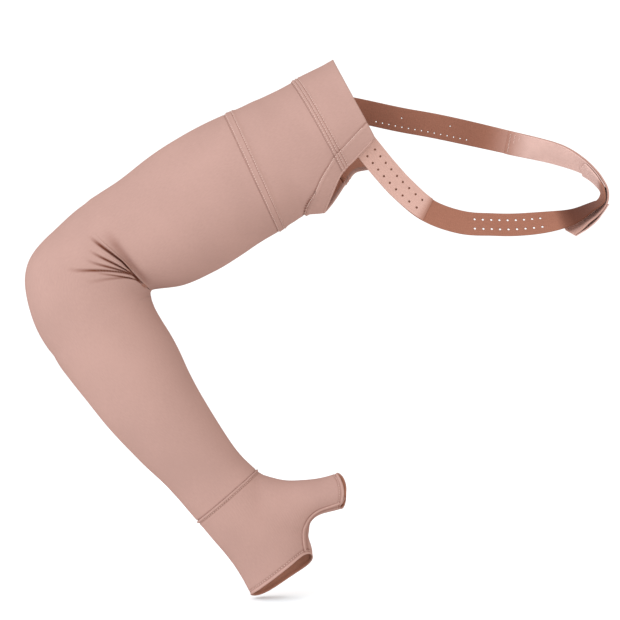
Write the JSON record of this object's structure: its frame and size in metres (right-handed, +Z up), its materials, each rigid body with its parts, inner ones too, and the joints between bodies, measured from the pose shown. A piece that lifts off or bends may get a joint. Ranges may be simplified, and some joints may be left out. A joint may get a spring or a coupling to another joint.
{
  "type": "compression arm sleeve with gauntlet and shoulder strap",
  "caption": "Long compression arm sleeve with a fingerless thumb gauntlet, a shoulder cap and a perforated shoulder strap closed by hook and loop, filled out with the elbow bent.",
  "frame": {"origin": "centre of the shoulder cap's open end, where the wearer's shoulder holds the sleeve up", "axes": "+Z up; the bent arm lies in the XZ plane with the shoulder at +X and the elbow at -X; -Y is the front of the garment; the thumb points to +X"},
  "size_m": [0.5528, 0.1154, 0.5112],
  "materials": {
    "knit": "matt flat-knit elastic cloth, beige pink",
    "strap_tape": "matt perforated elastic tape, brown inner face",
    "strap_facing": "matt light facing of the strap"
  },
  "bodies": {
    "root": {"arm_tube": "knit", "shoulder_panel": "knit", "shoulder_cap": "knit", "armhole_hem": "knit", "gauntlet": "knit", "finger_hem": "knit", "thumb_hem": "knit", "strap_back": "strap_tape", "strap_front": "strap_tape", "strap_patch": "strap_facing", "strap_facing": "strap_facing", "strap_hook_tab": "strap_facing"}
  },
  "joints": []
}
